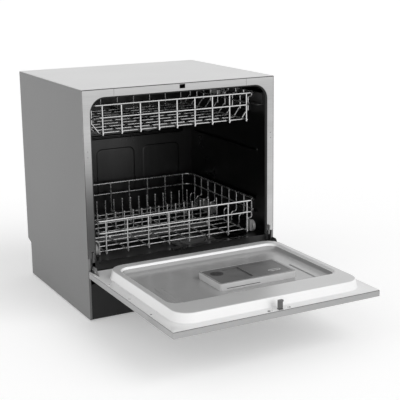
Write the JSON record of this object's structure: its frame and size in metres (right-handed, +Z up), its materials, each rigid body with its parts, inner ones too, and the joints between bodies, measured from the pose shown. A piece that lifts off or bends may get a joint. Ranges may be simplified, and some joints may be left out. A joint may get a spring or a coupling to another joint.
{
  "type": "countertop dishwasher",
  "caption": "Compact steel dishwasher with a drop-down door, pull-out wire racks on wheels, spray arms, a detergent dispenser and a filter.",
  "frame": {"origin": "on the worktop, under the middle of the cabinet's front plane, which is also under the middle of the whole part with its door open", "axes": "+X to the machine's right seen from the front, +Y from the door to the back, +Z up"},
  "size_m": [0.55, 0.9604, 0.595],
  "materials": {
    "side_paint": "satin grey paint",
    "top_paint": "satin light grey paint",
    "frame_steel": "brushed",
    "tub_steel": "bright rolled",
    "liner_steel": "bright pressed",
    "door_steel": "brushed",
    "black_metal": "matt black paint",
    "back_zinc": "galvanised",
    "dark_plastic": "moulded",
    "grey_plastic": "moulded grey",
    "pump_plastic": "moulded",
    "white_plastic": "moulded white",
    "seal_rubber": "matt",
    "foot_rubber": "matt",
    "bright_steel": "polished",
    "plain_steel": "plain",
    "rack_coat": "coated wire",
    "strip_gloss": "gloss black",
    "button_plastic": "satin",
    "board": "lacquered board",
    "wheel_plastic": "moulded"
  },
  "bodies": {
    "cabinet": {"top_panel": "top_paint", "left_side_panel": "side_paint", "right_side_panel": "side_paint", "back_panel": "back_zinc", "base_pan": "dark_plastic", "feet": "foot_rubber", "kick_plate": "black_metal", "front_frame": "frame_steel", "tub_wrapper": "tub_steel", "tub_back": "tub_steel", "tub_floor": "tub_steel", "door_seal": "seal_rubber", "sump": "dark_plastic", "filter_plate": "frame_steel", "wash_pump": "pump_plastic", "drain_pump": "pump_plastic", "heater": "plain_steel", "feed_pipe": "dark_plastic", "inlet_valve": "white_plastic", "cord_gland": "dark_plastic", "upper_rails": "plain_steel", "hinge_brackets": "plain_steel", "hinge_pins": "bright_steel", "latch_strike": "plain_steel", "cabinet_screws": "bright_steel"},
    "door": {"door_outer_panel": "door_steel", "door_liner": "liner_steel", "hinge_arms": "plain_steel", "dispenser_body": "grey_plastic", "control_strip": "strip_gloss", "control_board": "board", "door_screws": "bright_steel"},
    "latch_hook": {"latch_hook": "grey_plastic"},
    "dispenser_lid": {"dispenser_lid": "grey_plastic"},
    "rinse_aid_cap": {"rinse_aid_cap": "dark_plastic"},
    "power_button": {"power_button": "button_plastic"},
    "program_button": {"program_button": "button_plastic"},
    "start_button": {"start_button": "button_plastic"},
    "filter_cup": {"filter_cup": "grey_plastic"},
    "lower_spray_arm": {"lower_spray_arm": "grey_plastic"},
    "lower_rack": {"lower_rack_floor": "rack_coat", "lower_rack_front": "rack_coat", "lower_rack_back": "rack_coat", "lower_rack_sides": "rack_coat", "lower_wheel_brackets": "wheel_plastic"},
    "lower_wheels_front": {"lower_wheels_front": "wheel_plastic"},
    "lower_wheels_middle": {"lower_wheels_middle": "wheel_plastic"},
    "lower_wheels_rear": {"lower_wheels_rear": "wheel_plastic"},
    "front_tines": {"front_tines": "rack_coat"},
    "rear_tines": {"rear_tines": "rack_coat"},
    "upper_rack": {"upper_rack_floor": "rack_coat", "upper_rack_front": "rack_coat", "upper_rack_back": "rack_coat", "upper_rack_sides": "rack_coat", "upper_roller_brackets": "white_plastic", "upper_manifold": "dark_plastic"},
    "upper_rollers_front": {"upper_rollers_front": "white_plastic"},
    "upper_rollers_middle": {"upper_rollers_middle": "white_plastic"},
    "upper_rollers_rear": {"upper_rollers_rear": "white_plastic"},
    "upper_spray_arm": {"upper_spray_arm": "grey_plastic"}
  },
  "joints": [
    {"name": "door_hinge", "type": "hinge", "parent": "cabinet", "child": "door", "pos_m": [0, -0.012, 0.126], "axis": [-1, 0, 0], "range_deg": [0, 90]},
    {"name": "latch_swing", "type": "hinge", "parent": "door", "child": "latch_hook", "pos_m": [0, -0.4715, 0.124], "axis": [-1, 0, 0], "range_deg": [0, 8], "stiffness_Nm_per_rad": 1.5},
    {"name": "dispenser_slide", "type": "slide", "parent": "door", "child": "dispenser_lid", "axis": [-1, 0, 0], "range_m": [0, 0.045]},
    {"name": "rinse_cap_twist", "type": "hinge", "parent": "door", "child": "rinse_aid_cap", "pos_m": [-0.038, -0.24333, 0.157], "axis": [0, 0, 1], "range_deg": [0, 90]},
    {"name": "power_button_press", "type": "slide", "parent": "door", "child": "power_button", "axis": [0, 0, 1], "range_m": [0, 0.0015], "stiffness_N_per_m": 400},
    {"name": "program_button_press", "type": "slide", "parent": "door", "child": "program_button", "axis": [0, 0, 1], "range_m": [0, 0.0015], "stiffness_N_per_m": 400},
    {"name": "start_button_press", "type": "slide", "parent": "door", "child": "start_button", "axis": [0, 0, 1], "range_m": [0, 0.0015], "stiffness_N_per_m": 400},
    {"name": "lower_slide", "type": "slide", "parent": "cabinet", "child": "lower_rack", "axis": [0, 1, 0], "range_m": [-0.35, 0]},
    {"name": "lower_wheels_front_spin", "type": "hinge", "parent": "lower_rack", "child": "lower_wheels_front", "pos_m": [0, 0.052, 0.1718], "axis": [1, 0, 0], "range_deg": [0, 1219]},
    {"name": "lower_wheels_middle_spin", "type": "hinge", "parent": "lower_rack", "child": "lower_wheels_middle", "pos_m": [0, 0.28, 0.1718], "axis": [1, 0, 0], "range_deg": [0, 1219]},
    {"name": "lower_wheels_rear_spin", "type": "hinge", "parent": "lower_rack", "child": "lower_wheels_rear", "pos_m": [0, 0.337, 0.1718], "axis": [1, 0, 0], "range_deg": [0, 1219]},
    {"name": "front_tines_fold", "type": "hinge", "parent": "lower_rack", "child": "front_tines", "pos_m": [0, 0.158, 0.1693], "axis": [1, 0, 0], "range_deg": [0, 85]},
    {"name": "rear_tines_fold", "type": "hinge", "parent": "lower_rack", "child": "rear_tines", "pos_m": [0, 0.292, 0.1693], "axis": [1, 0, 0], "range_deg": [0, 85]},
    {"name": "lower_arm_spin", "type": "hinge", "parent": "cabinet", "child": "lower_spray_arm", "pos_m": [0, 0.2266, 0.14], "axis": [0, 0, 1], "continuous": true},
    {"name": "filter_twist", "type": "hinge", "parent": "cabinet", "child": "filter_cup", "pos_m": [0.092, 0.1306, 0.129], "axis": [0, 0, 1], "range_deg": [0, 90]},
    {"name": "upper_slide", "type": "slide", "parent": "cabinet", "child": "upper_rack", "axis": [0, 1, 0], "range_m": [-0.27, 0]},
    {"name": "upper_rollers_front_spin", "type": "hinge", "parent": "upper_rack", "child": "upper_rollers_front", "pos_m": [0, 0.235, 0.5315], "axis": [1, 0, 0], "range_deg": [0, 1070]},
    {"name": "upper_rollers_middle_spin", "type": "hinge", "parent": "upper_rack", "child": "upper_rollers_middle", "pos_m": [0, 0.269, 0.5315], "axis": [1, 0, 0], "range_deg": [0, 1070]},
    {"name": "upper_rollers_rear_spin", "type": "hinge", "parent": "upper_rack", "child": "upper_rollers_rear", "pos_m": [0, 0.39, 0.5315], "axis": [1, 0, 0], "range_deg": [0, 1070]},
    {"name": "upper_arm_spin", "type": "hinge", "parent": "upper_rack", "child": "upper_spray_arm", "pos_m": [0, 0.23, 0.447], "axis": [0, 0, 1], "continuous": true}
  ],
  "couplings": [
    {"joint": "lower_wheels_front_spin", "follows": "lower_slide", "rad_per_m": -60.606},
    {"joint": "lower_wheels_middle_spin", "follows": "lower_slide", "rad_per_m": -60.606},
    {"joint": "lower_wheels_rear_spin", "follows": "lower_slide", "rad_per_m": -60.606},
    {"joint": "upper_rollers_front_spin", "follows": "upper_slide", "rad_per_m": -68.966},
    {"joint": "upper_rollers_middle_spin", "follows": "upper_slide", "rad_per_m": -68.966},
    {"joint": "upper_rollers_rear_spin", "follows": "upper_slide", "rad_per_m": -68.966}
  ]
}
